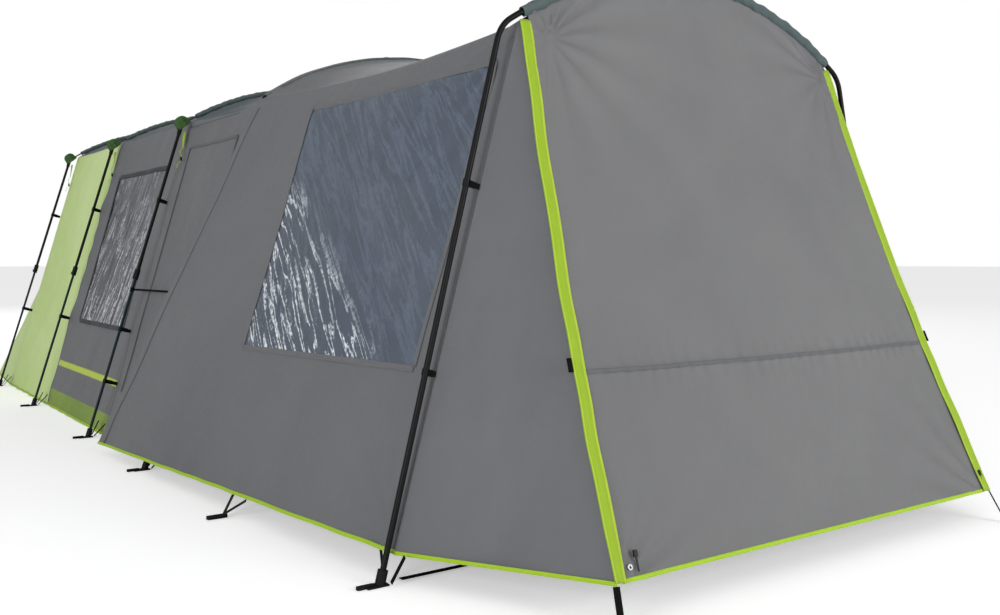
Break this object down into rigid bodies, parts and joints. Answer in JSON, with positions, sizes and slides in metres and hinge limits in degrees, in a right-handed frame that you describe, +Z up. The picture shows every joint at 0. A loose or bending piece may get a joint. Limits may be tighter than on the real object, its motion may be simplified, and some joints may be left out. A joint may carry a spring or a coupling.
{
  "type": "tunnel tent",
  "caption": "Long tunnel tent on external arched poles with telescopic legs, a sloping lift-up porch door, film windows and a hung bedroom.",
  "frame": {"origin": "on the ground at the middle of the tent's footprint", "axes": "+Z up, +Y along the tunnel towards the sleeping end, +X across it; the porch door faces -Y"},
  "size_m": [3.185, 8.0253, 2.1684],
  "materials": {
    "leg_steel": "satin black powder coat",
    "lower_steel": "dark teal-black coat, satin",
    "black_plastic": "moulded, lightly textured",
    "button_plastic": "smooth",
    "fibreglass": "pultruded, satin",
    "green_pvc": "coated cap cloth, deep green",
    "slate_cloth": "coated polyester, dark slate",
    "grey_cloth": "coated polyester, mid grey",
    "light_green_cloth": "coated polyester, light green",
    "lime_cloth": "zip cover cloth, lime",
    "lime_tape": "reflective tape",
    "pvc": "clear PVC film, glossy, creased",
    "tinted_pvc": "tinted PVC film, glossy, creased",
    "inner_cloth": "breathable polyester, off-white",
    "floor_pe": "woven polyethylene",
    "webbing": "black polyester webbing",
    "lime_webbing": "lime webbing",
    "cord": "braided polyester line",
    "zip_metal": "blackened zinc",
    "eyelet_metal": "plated"
  },
  "bodies": {
    "tent": {"bed_walls": "light_green_cloth", "bedroom_front": "inner_cloth", "bedroom_shell": "inner_cloth", "boot_webbing": "webbing", "clip_webbing": "webbing", "corner_eyelets": "eyelet_metal", "corner_hubs": "black_plastic", "door_walls": "grey_cloth", "edge_webbing": "webbing", "front_ground_strap": "webbing", "groundsheet": "floor_pe", "guy_lines": "cord", "guy_tabs": "lime_webbing", "hem_hooks": "webbing", "hub_protectors": "green_pvc", "leg_boots": "black_plastic", "leg_clips": "black_plastic", "lock_collars": "black_plastic", "main_roof": "slate_cloth", "main_windows": "tinted_pvc", "mud_bands": "light_green_cloth", "pole_sleeves": "slate_cloth", "porch_arch": "leg_steel", "porch_elbows": "leg_steel", "porch_gable": "grey_cloth", "porch_gussets": "grey_cloth", "porch_lower_legs": "leg_steel", "porch_roof": "grey_cloth", "porch_sides": "grey_cloth", "porch_sleeve": "slate_cloth", "porch_windows": "pvc", "rear_gussets": "light_green_cloth", "rear_wall": "light_green_cloth", "reflective_tapes": "lime_tape", "roof_poles": "fibreglass", "tie_straps": "webbing", "upper_legs": "leg_steel", "window_walls": "grey_cloth", "zip_strips": "lime_cloth"},
    "lower_leg_front_left": {"lower_leg_front_left": "lower_steel"},
    "lower_leg_front_right": {"lower_leg_front_right": "lower_steel"},
    "lower_leg_door_left": {"lower_leg_door_left": "lower_steel"},
    "lower_leg_door_right": {"lower_leg_door_right": "lower_steel"},
    "lower_leg_window_left": {"lower_leg_window_left": "lower_steel"},
    "lower_leg_window_right": {"lower_leg_window_right": "lower_steel"},
    "lower_leg_rear_left": {"lower_leg_rear_left": "lower_steel"},
    "lower_leg_rear_right": {"lower_leg_rear_right": "lower_steel"},
    "lock_button_front_left": {"lock_button_front_left": "button_plastic"},
    "lock_button_front_right": {"lock_button_front_right": "button_plastic"},
    "lock_button_door_left": {"lock_button_door_left": "button_plastic"},
    "lock_button_door_right": {"lock_button_door_right": "button_plastic"},
    "lock_button_window_left": {"lock_button_window_left": "button_plastic"},
    "lock_button_window_right": {"lock_button_window_right": "button_plastic"},
    "lock_button_rear_left": {"lock_button_rear_left": "button_plastic"},
    "lock_button_rear_right": {"lock_button_rear_right": "button_plastic"},
    "front_door": {"front_door": "grey_cloth"},
    "side_door": {"side_door": "grey_cloth"},
    "bedroom_door": {"bedroom_door": "inner_cloth"},
    "zip_slider_left": {"zip_slider_left": "zip_metal"},
    "zip_slider_right": {"zip_slider_right": "zip_metal"}
  },
  "joints": [
    {"name": "leg_slide_front_left", "type": "slide", "parent": "tent", "child": "lower_leg_front_left", "axis": [0.2982, -0.0968, 0.9496], "range_m": [0, 0.7]},
    {"name": "leg_slide_front_right", "type": "slide", "parent": "tent", "child": "lower_leg_front_right", "axis": [-0.2982, -0.0968, 0.9496], "range_m": [0, 0.7]},
    {"name": "leg_slide_door_left", "type": "slide", "parent": "tent", "child": "lower_leg_door_left", "axis": [0.2996, 0, 0.9541], "range_m": [0, 0.7]},
    {"name": "leg_slide_door_right", "type": "slide", "parent": "tent", "child": "lower_leg_door_right", "axis": [-0.2996, 0, 0.9541], "range_m": [0, 0.7]},
    {"name": "leg_slide_window_left", "type": "slide", "parent": "tent", "child": "lower_leg_window_left", "axis": [0.2996, 0, 0.9541], "range_m": [0, 0.7]},
    {"name": "leg_slide_window_right", "type": "slide", "parent": "tent", "child": "lower_leg_window_right", "axis": [-0.2996, 0, 0.9541], "range_m": [0, 0.7]},
    {"name": "leg_slide_rear_left", "type": "slide", "parent": "tent", "child": "lower_leg_rear_left", "axis": [0.2996, 0, 0.9541], "range_m": [0, 0.7]},
    {"name": "leg_slide_rear_right", "type": "slide", "parent": "tent", "child": "lower_leg_rear_right", "axis": [-0.2996, 0, 0.9541], "range_m": [0, 0.7]},
    {"name": "lock_press_front_left", "type": "slide", "parent": "tent", "child": "lock_button_front_left", "axis": [0.9541, 0, -0.2996], "range_m": [0, 0.003], "stiffness_N_per_m": 600, "springref_m": -0.002},
    {"name": "lock_press_front_right", "type": "slide", "parent": "tent", "child": "lock_button_front_right", "axis": [-0.9541, 0, -0.2996], "range_m": [0, 0.003], "stiffness_N_per_m": 600, "springref_m": -0.002},
    {"name": "lock_press_door_left", "type": "slide", "parent": "tent", "child": "lock_button_door_left", "axis": [0.9541, 0, -0.2996], "range_m": [0, 0.003], "stiffness_N_per_m": 600, "springref_m": -0.002},
    {"name": "lock_press_door_right", "type": "slide", "parent": "tent", "child": "lock_button_door_right", "axis": [-0.9541, 0, -0.2996], "range_m": [0, 0.003], "stiffness_N_per_m": 600, "springref_m": -0.002},
    {"name": "lock_press_window_left", "type": "slide", "parent": "tent", "child": "lock_button_window_left", "axis": [0.9541, 0, -0.2996], "range_m": [0, 0.003], "stiffness_N_per_m": 600, "springref_m": -0.002},
    {"name": "lock_press_window_right", "type": "slide", "parent": "tent", "child": "lock_button_window_right", "axis": [-0.9541, 0, -0.2996], "range_m": [0, 0.003], "stiffness_N_per_m": 600, "springref_m": -0.002},
    {"name": "lock_press_rear_left", "type": "slide", "parent": "tent", "child": "lock_button_rear_left", "axis": [0.9541, 0, -0.2996], "range_m": [0, 0.003], "stiffness_N_per_m": 600, "springref_m": -0.002},
    {"name": "lock_press_rear_right", "type": "slide", "parent": "tent", "child": "lock_button_rear_right", "axis": [-0.9541, 0, -0.2996], "range_m": [0, 0.003], "stiffness_N_per_m": 600, "springref_m": -0.002},
    {"name": "front_door_lift", "type": "hinge", "parent": "tent", "child": "front_door", "pos_m": [0, -3.192, 1.88084], "axis": [-1, 0, 0], "range_deg": [0, 75]},
    {"name": "side_door_swing", "type": "hinge", "parent": "tent", "child": "side_door", "pos_m": [-1.35465, 0.037, 0.235], "axis": [0.2868, 0, 0.958], "range_deg": [0, 80]},
    {"name": "bedroom_door_swing", "type": "hinge", "parent": "tent", "child": "bedroom_door", "pos_m": [-0.4, 1.746, 0.12], "axis": [0, 0, -1], "range_deg": [0, 85]},
    {"name": "zip_run_left", "type": "slide", "parent": "tent", "child": "zip_slider_left", "axis": [0.0756, 0.3772, 0.923], "range_m": [0, 1.7]},
    {"name": "zip_run_right", "type": "slide", "parent": "tent", "child": "zip_slider_right", "axis": [-0.0756, 0.3772, 0.923], "range_m": [0, 1.7]}
  ]
}
